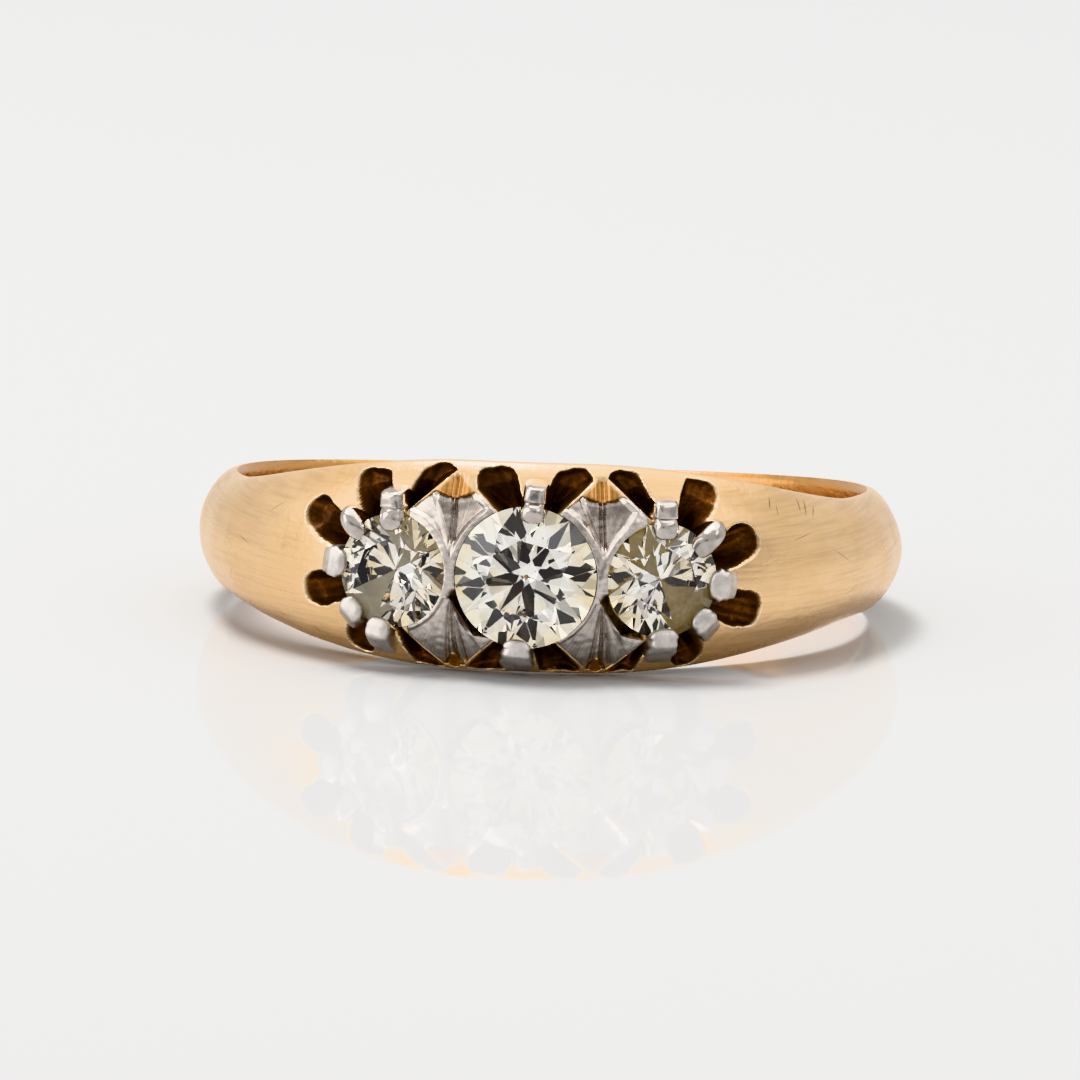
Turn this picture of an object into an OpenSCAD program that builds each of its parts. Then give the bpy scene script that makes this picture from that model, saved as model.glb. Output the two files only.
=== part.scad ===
// Old three stone ring: a gold band with a broad carved head, two white metal
// bridges between the stones, white metal claws and three brilliant cut stones.
// Lengths are in millimetres and angles in degrees. Angles round the finger
// run from the middle of the head, which faces -Y, and grow towards +X.
// Each stone has its own frame: x round the finger, y along the finger and
// z outwards, with the origin in the middle of its girdle's top edge.

/* [Finger hole] */
// Radius of the finger hole
bore_r = 8.75; // [7.5:0.05:10.5]

/* [Shank] */
// Width of the shank at the sides of the finger
side_w = 3.3; // [2.4:0.1:4.2]
// Width of the shank at the back of the finger
back_w = 2.6; // [2:0.1:4]
// Thickness of the shank at the sides
side_t = 1.05; // [0.8:0.05:1.6]
// Thickness of the shank at the back
back_t = 0.95; // [0.8:0.05:1.6]
// Height of the flat edge along the shank's two rims
shank_edge = 0.15; // [0.1:0.05:0.5]

/* [Head] */
// Width of the head along the finger
head_w = 5.72; // [5:0.05:7]
// Height of the flat edge along the head's two rims
head_edge = 0.95; // [0.5:0.05:1.4]
// Height of the head's face above the middle stone's girdle
face_rise = 0.12; // [0:0.02:0.3]
// Half angle over which the head keeps its full width
head_level = 9; // [4:1:16]
// Angle at which the shoulders have narrowed to the shank's width
width_end = 74; // [60:1:90]
// Half angle over which the head keeps its full thickness
thick_level = 18; // [10:1:24]
// Angle at which the shoulders have thinned to the shank's thickness
thick_end = 85; // [65:1:95]
// How full the curve of the face is: 1 is an ellipse and 2 a parabola
face_curve = 1.45; // [1:0.05:2]

/* [Stones] */
// Diameter of the middle stone
centre_d = 3.88; // [3.4:0.02:4.2]
// Diameter of a side stone
side_d = 3.12; // [2.6:0.02:3.4]
// Space between the girdles of neighbouring stones
stone_gap = 0.26; // [0.2:0.02:0.5]
// Distance from the middle stone's point to the finger hole
culet_room = 0.2; // [0.1:0.05:0.5]
// Depth of a side stone's girdle below the head's face
side_sink = 0.2; // [0.1:0.02:0.3]
// How far the row of stones lies off the head's middle, along the finger
row_shift = -0.21; // [-0.3:0.01:0.3]
// Width of the table as a share of the diameter
table_share = 0.55; // [0.5:0.01:0.62]
// Height of the crown as a share of the diameter
crown_share = 0.15; // [0.12:0.01:0.18]
// Depth of the pavilion as a share of the diameter
pavilion_share = 0.43; // [0.4:0.01:0.45]
// Thickness of the girdle as a share of the diameter
girdle_share = 0.02; // [0.01:0.005:0.04]

/* [Windows] */
// Distance from a stone's middle to the far end of its windows
window_reach = 3.1; // [2.8:0.05:3.3]
// Width of a window at its far end
window_w = 1.04; // [0.8:0.02:1.1]
// Width of a window beside the stone
window_mouth_w = 0.84; // [0.6:0.02:0.9]
// Depth of a window's far end below the stone's girdle
window_end_depth = 0.72; // [0.5:0.02:0.9]
// Depth of a window's floor beside the stone, below the girdle
window_floor_depth = 1.15; // [0.9:0.05:1.3]
// Thinnest rim left between a window and the head's edge
window_rim = 0.14; // [0.1:0.02:0.3]

/* [Claws] */
// Width of a side stone's claws
side_claw_w = 0.64; // [0.5:0.02:0.7]
// Width of the middle stone's claws
centre_claw_w = 0.7; // [0.5:0.02:0.8]
// Length of a claw outside the stone
claw_l = 0.7; // [0.45:0.05:0.8]
// How far a claw's tip reaches over the stone
claw_grip = 0.26; // [0.15:0.02:0.4]
// Height of a claw above the girdle's top edge
claw_h = 0.4; // [0.3:0.02:0.6]
// Depth of a claw's foot below the girdle's top edge
claw_foot = 0.42; // [0.3:0.02:0.6]
// Thinnest rim left between a claw and the head's edge
claw_rim = 0.06; // [0.04:0.01:0.2]

/* [Bridges] */
// Half width of a bridge at its kites' corners
kite_half_w = 1.28; // [1.1:0.02:1.5]
// Distance of the kites' corners from the row of stones
kite_corner = 1.7; // [1.5:0.02:1.9]
// Distance of the white metal's end from the row of stones
kite_end = 2.3; // [2.1:0.02:2.5]
// Distance of the point where a kite's two outer edges would meet
kite_tip = 2.85; // [2.7:0.02:3]
// Thickness of a bridge
bridge_t = 0.5; // [0.35:0.05:0.7]
// How far a bridge stands above the head's face
bridge_rise = 0.07; // [0:0.01:0.15]
// How far a bridge's rim reaches over each stone
bridge_grip = 0.02; // [0.01:0.01:0.06]
// How far a kite's end dips between its two end corners
kite_dip = 0.2; // [0.1:0.02:0.4]
// Width of the engraved grooves
groove_w = 0.42; // [0.2:0.02:0.6]
// How far a groove's outer end drops below the face
groove_depth = 0.16; // [0.05:0.01:0.3]
// Angle between a groove and the kite's ridge
groove_lean = 16; // [8:1:24]

/* [Fit] */
// Gap between a piece and what holds it
fit = 0.015; // [0.01:0.005:0.03]

/* [Hidden] */
$fn = 96;

LEFT = 0;
CENTRE = 1;
RIGHT = 2;
// Columns: angle of the window beside its stone, angle of its far end, and its
// reach as a share of window_reach. Angles run round the stone from its +x.
LEFT_WINDOWS = [
  [76, 65, 1.08], [112, 107, 0.94], [156, 151, 1.04], [206, 193, 0.93], [245, 240, 0.8], [279, 293, 0.95]
];
CENTRE_WINDOWS = [[68, 64, 1.08], [103, 110, 1.08], [247, 246, 0.95], [283, 294, 0.97]];
RIGHT_WINDOWS = [
  [110, 112, 1.02], [68, 65, 0.93], [17, 24, 0.98], [-27, -18, 1], [-66, -66, 0.78], [-108, -115, 0.94]
];
// Angles of the claws round each stone
LEFT_CLAWS = [90, 134, 175, 225, 259];
CENTRE_CLAWS = [85, 265];
RIGHT_CLAWS = [90, 42, -4, -43, -88];

gold = [0.87, 0.70, 0.47];
white_metal = [0.75, 0.72, 0.69];
clear_stone = [0.92, 0.94, 0.97];

// Depth of a bored or cut surface past what it cuts
over = 1;

stones = [side_d, centre_d, side_d];
centre_girdle_r = bore_r + culet_room + pavilion_share * centre_d;
face_r = centre_girdle_r + face_rise;
function girdle_r(i) = i == CENTRE ? centre_girdle_r : face_r - side_sink;
head_t = face_r - bore_r;
girdle_chord = (centre_d + side_d) / 2 + stone_gap;
stone_step = acos(
  (pow(girdle_r(LEFT), 2) + pow(girdle_r(CENTRE), 2) - pow(girdle_chord, 2))
  / (2 * girdle_r(LEFT) * girdle_r(CENTRE))
);
function stone_angle(i) = (i - CENTRE) * stone_step;
bridge_angle = stone_step * (centre_d + stone_gap) / (centre_d + side_d + 2 * stone_gap);

// A smooth step from 0 at u = 0 to 1 at u = 1
function ease(u) = let (c = min(1, max(0, u))) c * c * (3 - 2 * c);
// Share of the head in the section at an angle, from 1 in the head to 0 at end
function head_share(a, level, end) = ease((end - abs(a)) / (end - level));
// Share of the back in the section at an angle, from 0 at the sides to 1
function back_share(a) = ease((abs(a) - 90) / 90);
function half_w(a) =
  let (shank = side_w + (back_w - side_w) * back_share(a))
  (shank + (head_w - side_w) * head_share(a, head_level, width_end)) / 2;
function wall(a) =
  side_t + (back_t - side_t) * back_share(a)
  + (head_t - side_t) * head_share(a, thick_level, thick_end);
function edge(a) =
  shank_edge + (head_edge - shank_edge) * head_share(a, thick_level, thick_end);
// Outer radius of the band at an angle and a share of its half width
function outer_r(a, share) =
  bore_r + edge(a) + (wall(a) - edge(a)) * pow(max(0, 1 - share * share), face_curve / 2);

sections = 96;
across = 16;
bore_sides = 192;
// How far the swept body reaches into the finger hole before it is bored
core = 0.5;
function ring_point(r, a, z) = [r * sin(a), -r * cos(a), z];
function section(a) = concat(
  [for (k = [0 : across]) let (s = sin(180 * k / across - 90)) ring_point(outer_r(a, s), a, half_w(a) * s)],
  [ring_point(bore_r - core, a, half_w(a)), ring_point(bore_r - core, a, -half_w(a))]
);
per_section = across + 3;

// The tilt at which the head's rim and the back's rim both touch the ground
function low_points(back) = [
  for (k = [0 : sections / 2])
    let (a = k * 360 / sections)
    if ((a > 90) == back)
      for (r = [bore_r, bore_r + edge(a)]) ring_point(r, a, -half_w(a))
];
head_low = low_points(false);
back_low = low_points(true);
function height(p, tilt) = p[2] * cos(tilt) - p[1] * sin(tilt);
function lowest(points, tilt) = min([for (p = points) height(p, tilt)]);
function level_tilt(low, high, steps) =
  let (mid = (low + high) / 2)
  steps == 0 ? mid
  : lowest(head_low, mid) < lowest(back_low, mid) ? level_tilt(mid, high, steps - 1)
  : level_tilt(low, mid, steps - 1);
rest_tilt = level_tilt(0, 20, 30);
rest_height = -lowest(head_low, rest_tilt);
table_r = girdle_r(CENTRE) + crown_share * centre_d;
rest_middle = (table_r - bore_r - back_t) * cos(rest_tilt) / 2;

module at_rest() {
  translate([0, rest_middle, rest_height]) rotate([-rest_tilt, 0, 0]) children();
}

module at_angle(a, r) {
  rotate([0, 0, a]) translate([0, -r, row_shift]) rotate([90, 0, 0]) children();
}

module at_stone(i) {
  at_angle(stone_angle(i), girdle_r(i)) children();
}

// Solid between rings of points that have the same number of points each
function wrap_faces(rings, n) = [
  for (i = [0 : rings - 2])
    for (k = [0 : n - 1])
      let (a = i * n + k, b = i * n + (k + 1) % n)
      each [[a, a + n, b], [b, a + n, b + n]]
];
module stack(rings) {
  n = len(rings[0]);
  last = (len(rings) - 1) * n;
  polyhedron(
    points = [for (r = rings) each r],
    faces = concat(
      wrap_faces(len(rings), n),
      [[for (k = [0 : n - 1]) k], [for (k = [n - 1 : -1 : 0]) last + k]]
    )
  );
}

module swept_body() {
  n = per_section;
  polyhedron(
    points = [for (i = [0 : sections - 1]) each section(i * 360 / sections - 180)],
    faces = [
      for (i = [0 : sections - 1])
        for (k = [0 : n - 1])
          let (
            j = (i + 1) % sections,
            a = i * n + k,
            b = i * n + (k + 1) % n,
            c = j * n + k,
            d = j * n + (k + 1) % n
          )
          each [[a, b, c], [b, d, c]]
    ]
  );
}

// Brilliant cut stone. Its facets' corners would stand past the round girdle by
// corner times its radius.
facet = 360 / 16;
corner = 1 / cos(facet / 2) - 1;
function polar(r, a, z) = [r * cos(a), r * sin(a), z];
star_share = 0.5;
lower_share = 0.7;
culet_share = 0.02;

module brilliant(d) {
  r = d / 2;
  ring = r / cos(facet / 2);
  table = table_share * r;
  crown = crown_share * d;
  girdle = girdle_share * d;
  deep = pavilion_share * d;
  culet = culet_share * r;
  star = table * cos(facet) + star_share * (r - table * cos(facet));
  star_z = crown * (ring - star * cos(facet)) / (ring - table);
  lower = r * (1 - lower_share);
  lower_z = -girdle - (deep - girdle) * (ring - lower * cos(facet)) / (ring - culet);
  points = concat(
    [for (k = [0 : 7]) polar(table, 2 * k * facet, crown)],
    [for (k = [0 : 7]) polar(star, (2 * k + 1) * facet, star_z)],
    [for (k = [0 : 15]) polar(ring, k * facet, 0)],
    [for (k = [0 : 15]) polar(ring, k * facet, -girdle)],
    [for (k = [0 : 7]) polar(lower, (2 * k + 1) * facet, lower_z)],
    [for (k = [0 : 7]) polar(culet, 2 * k * facet, -deep)]
  );
  stars = 8;
  upper = 16;
  under = 32;
  tips = 48;
  point = 56;
  faces = concat(
    [[for (k = [0 : 7]) 7 - k]],
    [for (k = [0 : 7]) [k, (k + 1) % 8, stars + k]],
    [for (k = [0 : 7]) [k, stars + k, upper + 2 * k, stars + (k + 7) % 8]],
    [for (k = [0 : 7]) [stars + k, upper + 2 * k + 1, upper + 2 * k]],
    [for (k = [0 : 7]) [stars + k, upper + (2 * k + 2) % 16, upper + 2 * k + 1]],
    [for (k = [0 : 15]) [upper + k, upper + (k + 1) % 16, under + (k + 1) % 16, under + k]],
    [for (k = [0 : 7]) [under + 2 * k, under + 2 * k + 1, tips + k]],
    [for (k = [0 : 7]) [under + 2 * k + 1, under + (2 * k + 2) % 16, tips + k]],
    [for (k = [0 : 7]) [under + 2 * k, tips + k, point + k, tips + (k + 7) % 8]],
    [for (k = [0 : 7]) [tips + k, point + (k + 1) % 8, point + k]],
    [[for (k = [0 : 7]) point + k]]
  );
  intersection() {
    polyhedron(points = points, faces = faces);
    translate([0, 0, -deep - over]) cylinder(r = r, h = deep + crown + 2 * over);
  }
}

// Room for a stone in the metal over its edge: its girdle and its crown's slope,
// each with the gap, up to a mouth
module stone_room(i, mouth) {
  d = stones[i];
  r = d / 2 + fit;
  slope = 2 * crown_share / (1 - table_share);
  lift = fit + slope * corner * d / 2;
  top = 2 * over;
  rotate_extrude()
    polygon([[0, -over], [r, -over], [r, lift], [mouth, lift + (r - mouth) * slope], [mouth, top], [0, top]]);
}

// Seat under a stone, and the open hole from its point to the finger hole, whose
// radius is a share of the stone's
hole_share = 0.5;
module seat(i) {
  d = stones[i];
  r = d / 2 + fit;
  slope = 2 * pavilion_share;
  hole = hole_share * d / 2;
  shoulder = -girdle_share * d - slope * corner * d / 2 - fit;
  throat = shoulder - (r - hole) * slope;
  rotate_extrude()
    polygon([[0, -girdle_r(i)], [hole, -girdle_r(i)], [hole, throat], [r, shoulder], [r, d], [0, d]]);
}

// Outline of a window: x runs from its start out to its round far end
round_steps = 8;
function window_outline(far, near_w, far_w) =
  let (c = far - far_w / 2, r = far_w / 2)
  concat(
    [[0, -near_w / 2]],
    [for (k = [0 : round_steps]) let (a = 180 * k / round_steps - 90) [c + r * cos(a), r * sin(a)]],
    [[0, near_w / 2]]
  );
// Distance from a stone's middle along a direction to where the head's rim is left
function rim_distance(i, a, reach, rim) =
  let (
    round_finger = stone_angle(i) + reach * cos(a) / girdle_r(i) * 180 / PI,
    side = sin(a) > 0 ? 1 : -1
  )
  (half_w(round_finger) - rim - side * row_shift) / max(0.01, abs(sin(a)));
function window_end(i, row) =
  let (reach = window_reach * row[2])
  min(reach, rim_distance(i, row[1], reach, window_rim));

// Where a window starts, as a share of its stone's radius
window_start = 0.55;
// How far the floor's end stays back from the far end, as a share of the window's
// length outside the stone
floor_back = 0.62;
// Columns of the levels, from the floor up: height over the girdle, how much of
// floor_back the level stays back, and its width as a share of the face's
LEVELS = [
  [-window_floor_depth, 1, 0.7],
  [-window_end_depth, 0.1, 0.86],
  [-window_end_depth / 2, 0, 1],
  [over, 0, 1]
];

module window(i, row) {
  r = stones[i] / 2;
  near = r * window_start;
  end = window_end(i, row);
  start = [near * cos(row[0]), near * sin(row[0])];
  stop = [end * cos(row[1]), end * sin(row[1])];
  way = stop - start;
  back = (end - r) * floor_back;
  rings = [
    for (l = LEVELS)
      [
        for (p = window_outline(norm(way) - back * l[1], window_mouth_w * l[2], window_w * l[2]))
          [p[0], p[1], l[0]]
      ]
  ];
  translate([start[0], start[1], 0]) rotate([0, 0, atan2(way[1], way[0])]) stack(rings);
}

function claw_w(i) = i == CENTRE ? centre_claw_w : side_claw_w;

// Height of the head's face over a stone's plane, at a distance x from the
// stone's middle along a direction a
function face_w(i, a, x) =
  let (
    turn = atan(x * cos(a) / girdle_r(i)),
    round_finger = stone_angle(i) + turn,
    share = min(1, abs(row_shift + x * sin(a)) / half_w(round_finger))
  )
  outer_r(round_finger, share) * cos(turn) - girdle_r(i);

// Side view of a claw, from its foot in the head to its tip over the stone's edge
claw_steps = 6;
// Depth of the foot's outer end as a share of its depth under the stone
foot_share = 0.7;
// How far the outer end stands above the face
claw_lip = 0.05;
// Where the claw is highest, as a share of the way from its outer end to its tip
claw_peak = 0.6;
// How much of its height the claw loses from there to its tip
claw_droop = 0.6;
function claw_end(i, a) =
  let (reach = stones[i] / 2 + claw_l)
  min(reach, rim_distance(i, a, reach, claw_rim));
function claw_floor(i, a) =
  let (r = stones[i] / 2, end = claw_end(i, a), drop = min(0, face_w(i, a, end)))
  [[r - claw_grip, -claw_foot], [r, -claw_foot], [end, drop - claw_foot * foot_share]];
function claw_top(i, a) =
  let (tip = stones[i] / 2 - claw_grip, end = claw_end(i, a), low = face_w(i, a, end) + claw_lip)
  [
    for (k = [0 : claw_steps])
      let (
        u = k / claw_steps,
        rise = (claw_h - low) * sin(min(1, u / claw_peak) * 90),
        fall = claw_h * claw_droop * pow(max(0, u - claw_peak) / (1 - claw_peak), 2)
      )
      [end + (tip - end) * u, low + rise - fall]
  ];

module upright(w) {
  translate([0, w / 2, 0]) rotate([90, 0, 0]) linear_extrude(height = w) children();
}

// Level shelf in the head under a claw, with some room on each side of it
shelf_room = 0.1;
module claw_shelf(i, a) {
  foot = claw_floor(i, a);
  inner = foot[0][0] - over / 2;
  outer = foot[2][0] + fit;
  top = 2 * over;
  rotate([0, 0, a]) upright(claw_w(i) + 2 * shelf_room) polygon([
    [inner, foot[0][1] - fit], foot[1] - [0, fit], [outer, foot[2][1] - 2 * fit], [outer, top], [inner, top]
  ]);
}

module claw(i, a) {
  r = stones[i] / 2;
  w = claw_w(i);
  tip = r - claw_grip + w / 2;
  color(white_metal) at_rest() at_stone(i) difference() {
    rotate([0, 0, a]) intersection() {
      upright(w) polygon(concat(claw_floor(i, a), claw_top(i, a)));
      translate([0, 0, -2 * over]) union() {
        translate([tip, 0, 0]) cylinder(r = w / 2, h = 4 * over);
        translate([tip, -w / 2, 0]) cube([claw_l + w, w, 4 * over]);
      }
    }
    stone_room(i, r * table_share);
  }
}

// Outline of a bridge: two kites that meet point to point between the stones. It
// is cut back to the stones' edges later, and grows by the gap for its hollow.
function kite_side(v) = kite_half_w * (kite_tip - v) / (kite_tip - kite_corner);
function bridge_outline(grow) =
  let (
    w = kite_half_w + grow,
    top = [[w, kite_corner], [kite_side(kite_end) + grow, kite_end + grow], [0, kite_end - kite_dip + grow]],
    half = concat(top, [for (k = [1, 0]) [-top[k][0], top[k][1]]])
  )
  concat(half, [for (k = [4 : -1 : 0]) [half[k][0], -half[k][1]]]);

// Body of the bridges: a band round the finger that follows the head's face
shell_steps = 8;
module bridge_shell(rise, depth) {
  shares = [for (k = [-shell_steps : shell_steps]) k / shell_steps];
  outside = [for (s = shares) [outer_r(0, s) + rise, s * head_w / 2]];
  inside = [for (s = shares) [outer_r(0, -s) - depth, -s * head_w / 2]];
  rotate([0, 0, -90 - 2 * stone_step])
    rotate_extrude(angle = 4 * stone_step) polygon(concat(outside, inside));
}

module bridge_plan(a, grow) {
  at_angle(a, bore_r) linear_extrude(height = head_t + over) polygon(bridge_outline(grow));
}

// Engraved groove with a V section. It starts at groove_start from the row of
// stones and falls outwards, to end below the face.
groove_start = 0.55;
module groove(side, lean) {
  fall = head_t - (outer_r(0, 2 * kite_end / head_w) - bore_r) + groove_depth;
  dive = atan(fall / (kite_end - groove_start));
  up = head_t + bridge_rise + groove_w / sqrt(2);
  rotate([0, 0, side > 0 ? 0 : 180]) translate([0, groove_start, up]) rotate([-dive, 0, lean])
    rotate([0, 45, 0]) translate([-groove_w / 2, 0, -groove_w / 2]) cube([groove_w, kite_end, groove_w]);
}

module bridge(side) {
  a = side * bridge_angle;
  near = side < 0 ? LEFT : RIGHT;
  color(white_metal) at_rest() difference() {
    intersection() {
      bridge_plan(a, 0);
      bridge_shell(bridge_rise, bridge_t);
    }
    for (i = [CENTRE, near]) at_stone(i) stone_room(i, stones[i] / 2 - bridge_grip);
    at_angle(a, bore_r) for (end = [1, -1]) for (lean = [groove_lean, -groove_lean]) groove(end, lean);
  }
}

module band() {
  color(gold) at_rest() difference() {
    swept_body();
    translate([0, 0, -head_w]) cylinder(r = bore_r, h = 2 * head_w, $fn = bore_sides);
    for (i = [LEFT, CENTRE, RIGHT]) at_stone(i) seat(i);
    for (row = LEFT_WINDOWS) at_stone(LEFT) window(LEFT, row);
    for (row = CENTRE_WINDOWS) at_stone(CENTRE) window(CENTRE, row);
    for (row = RIGHT_WINDOWS) at_stone(RIGHT) window(RIGHT, row);
    for (a = LEFT_CLAWS) at_stone(LEFT) claw_shelf(LEFT, a);
    for (a = CENTRE_CLAWS) at_stone(CENTRE) claw_shelf(CENTRE, a);
    for (a = RIGHT_CLAWS) at_stone(RIGHT) claw_shelf(RIGHT, a);
    for (side = [-1, 1]) intersection() {
      bridge_plan(side * bridge_angle, fit);
      bridge_shell(over, bridge_t + fit);
    }
  }
}

module stone(i) {
  color(clear_stone) at_rest() at_stone(i) brilliant(stones[i]);
}

band();
bridge(-1);  // left_bridge
bridge(1);  // right_bridge
for (k = [0 : 4]) claw(LEFT, LEFT_CLAWS[k]);
for (k = [0 : 1]) claw(CENTRE, CENTRE_CLAWS[k]);
for (k = [0 : 4]) claw(RIGHT, RIGHT_CLAWS[k]);
stone(LEFT);  // left_stone
stone(CENTRE);  // centre_stone
stone(RIGHT);  // right_stone
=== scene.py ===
# Old three stone ring, dressed for the photograph. Sizes are in millimetres and
# angles in degrees, as in the part's source, and become metres when a mesh is made.
import math

import bmesh
import bpy
import numpy as np
from mathutils import Matrix, Vector


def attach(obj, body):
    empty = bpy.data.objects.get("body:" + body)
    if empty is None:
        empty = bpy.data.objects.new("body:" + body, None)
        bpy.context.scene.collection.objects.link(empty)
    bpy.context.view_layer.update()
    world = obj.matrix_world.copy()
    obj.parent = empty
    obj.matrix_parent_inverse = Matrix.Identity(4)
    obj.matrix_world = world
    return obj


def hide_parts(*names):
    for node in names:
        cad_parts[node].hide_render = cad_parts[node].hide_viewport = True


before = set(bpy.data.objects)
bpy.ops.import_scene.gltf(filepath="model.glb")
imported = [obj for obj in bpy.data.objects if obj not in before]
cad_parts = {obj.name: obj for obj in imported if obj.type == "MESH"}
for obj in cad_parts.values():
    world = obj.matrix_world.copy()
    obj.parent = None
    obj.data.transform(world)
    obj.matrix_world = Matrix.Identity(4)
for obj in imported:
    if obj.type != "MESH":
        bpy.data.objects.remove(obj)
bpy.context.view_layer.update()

MM = 0.001

# Sizes of the part's source
BORE_R = 8.75
SIDE_W, BACK_W, SIDE_T, BACK_T, SHANK_EDGE = 3.3, 2.6, 1.05, 0.95, 0.15
HEAD_W, HEAD_EDGE, FACE_RISE = 5.72, 0.95, 0.12
HEAD_LEVEL, WIDTH_END, THICK_LEVEL, THICK_END, FACE_CURVE = 9, 74, 18, 85, 1.45
CENTRE_D, SIDE_D, STONE_GAP, CULET_ROOM, SIDE_SINK = 3.88, 3.12, 0.26, 0.2, 0.2
ROW_SHIFT = -0.21
TABLE, CROWN, PAVILION, GIRDLE = 0.55, 0.15, 0.43, 0.02
WINDOW_REACH, WINDOW_W, WINDOW_MOUTH_W = 3.1, 1.04, 0.84
KITE_HALF_W, KITE_CORNER, KITE_END, KITE_TIP, KITE_DIP = 1.28, 1.7, 2.3, 2.85, 0.2
# The lower kites run down to the edge, on both sides of their dimples
LOW_END, LOW_DIP = 2.6, 0.42
REST_TILT, REST_HEIGHT, REST_MIDDLE = 5.08512, 2.08385, 0.747247

LEFT, CENTRE, RIGHT = 0, 1, 2
STONES = [SIDE_D, CENTRE_D, SIDE_D]
CENTRE_GIRDLE_R = BORE_R + CULET_ROOM + PAVILION * CENTRE_D
FACE_R = CENTRE_GIRDLE_R + FACE_RISE
GIRDLE_R = [FACE_R - SIDE_SINK, CENTRE_GIRDLE_R, FACE_R - SIDE_SINK]
HEAD_T = FACE_R - BORE_R
CHORD = (CENTRE_D + SIDE_D) / 2 + STONE_GAP
STONE_STEP = math.degrees(math.acos(
    (GIRDLE_R[0] ** 2 + GIRDLE_R[1] ** 2 - CHORD ** 2) / (2 * GIRDLE_R[0] * GIRDLE_R[1])))
STONE_ANGLE = [-STONE_STEP, 0.0, STONE_STEP]
BRIDGE_ANGLE = STONE_STEP * (CENTRE_D + STONE_GAP) / (CENTRE_D + SIDE_D + 2 * STONE_GAP)


def sind(a):
    return np.sin(np.radians(a))


def cosd(a):
    return np.cos(np.radians(a))


def ease(u):
    c = np.clip(u, 0, 1)
    return c * c * (3 - 2 * c)


def head_share(a, level, end):
    return ease((end - np.abs(a)) / (end - level))


def back_share(a):
    return ease((np.abs(a) - 90) / 90)


def half_w(a):
    shank = SIDE_W + (BACK_W - SIDE_W) * back_share(a)
    return (shank + (HEAD_W - SIDE_W) * head_share(a, HEAD_LEVEL, WIDTH_END)) / 2


def wall(a):
    return (SIDE_T + (BACK_T - SIDE_T) * back_share(a)
            + (HEAD_T - SIDE_T) * head_share(a, THICK_LEVEL, THICK_END))


def edge(a):
    return SHANK_EDGE + (HEAD_EDGE - SHANK_EDGE) * head_share(a, THICK_LEVEL, THICK_END)


def outer_r(a, share):
    full = np.maximum(0, 1 - share * share) ** (FACE_CURVE / 2)
    return BORE_R + edge(a) + (wall(a) - edge(a)) * full


def ring_point(r, a, z):
    return np.stack([r * sind(a), -r * cosd(a), z * np.ones_like(r * a)], -1)


def at_rest(p):
    """Points of the ring's own frame, laid down on the ground."""
    t = math.radians(REST_TILT)
    x, y, z = np.moveaxis(p, -1, 0)
    return np.stack([x, y * math.cos(t) + z * math.sin(t) + REST_MIDDLE,
                     z * math.cos(t) - y * math.sin(t) + REST_HEIGHT], -1)


def from_local(p, angle, r):
    """Points of a frame at an angle and radius: x round the finger, y along it, z outwards."""
    x, y, z = np.moveaxis(p, -1, 0)
    a = math.radians(angle)
    out = r + z
    return np.stack([out * math.sin(a) + x * math.cos(a),
                     -out * math.cos(a) + x * math.sin(a), y + ROW_SHIFT], -1)


class Waves:
    """Smooth noise from a sum of waves, the same on every run."""

    def __init__(self, seed, count, low, high):
        draw = np.random.default_rng(seed)
        d = draw.normal(size=(count, 3))
        d /= np.linalg.norm(d, axis=1)[:, None]
        self.k = d * draw.uniform(low, high, count)[:, None] * 2 * math.pi
        self.p = draw.uniform(0, 2 * math.pi, count)
        self.s = math.sqrt(2.0 / count)

    def __call__(self, x, y, z=0.0):
        x, y, z = np.broadcast_arrays(x, y, z)
        total = np.zeros(x.shape)
        for k, p in zip(self.k, self.p):
            total += np.sin(k[0] * x + k[1] * y + k[2] * z + p)
        return total * self.s


rim_waves = Waves(3, 10, 0.6, 1.6)
fine_waves = Waves(5, 14, 2.2, 5.0)
tool_waves = Waves(7, 18, 0.8, 2.6)
body_waves = Waves(9, 14, 0.15, 0.8)


def make_object(name, points, faces, smooth=True, sharp=None):
    mesh = bpy.data.meshes.new(name)
    mesh.from_pydata((np.asarray(points) * MM).tolist(), [], faces)
    mesh.validate()
    mesh.polygons.foreach_set("use_smooth", [smooth] * len(mesh.polygons))
    if sharp is not None:
        mesh.set_sharp_from_angle(angle=math.radians(sharp))
    obj = bpy.data.objects.new(name, mesh)
    bpy.context.scene.collection.objects.link(obj)
    return obj


def set_attribute(obj, name, values):
    at = obj.data.attributes.new(name, "FLOAT", "POINT")
    at.data.foreach_set("value", np.asarray(values, dtype=np.float32))


# Windows of each stone. Columns: a window's angle beside the stone and at its far end,
# its reach as a share of WINDOW_REACH, its width at the far end and beside the stone
# as shares of WINDOW_W and WINDOW_MOUTH_W, and how square its far end is
WINDOWS = [[
    [77, 66, 1.12, 1.02, 0.95, 0.1], [116, 109, 1.0, 1.08, 0.95, 0.25],
    [156, 150, 1.06, 1.04, 0.9, 0.0], [206, 194, 0.95, 0.94, 0.85, 0.2],
    [245, 240, 0.84, 0.94, 0.9, 0.1], [279, 293, 1.0, 1.05, 0.95, 0.1]], [
    [66, 64, 1.12, 1.14, 1.0, 0.0], [104, 110, 1.14, 1.12, 1.0, 0.2],
    [247, 246, 1.02, 1.06, 1.0, 0.2], [283, 292, 1.02, 1.06, 1.0, 0.2]], [
    [108, 112, 1.1, 1.04, 0.95, 0.1], [68, 63, 0.98, 1.0, 0.84, 0.4],
    [18, 24, 1.0, 1.04, 0.9, 0.0], [-26, -18, 1.02, 1.0, 0.9, 0.2],
    [-66, -66, 0.84, 0.94, 0.9, 0.1], [-106, -114, 1.0, 1.05, 0.95, 0.1]]]
# A window starts inside its stone's circle, at this share of the stone's radius
WINDOW_START = 0.55
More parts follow.
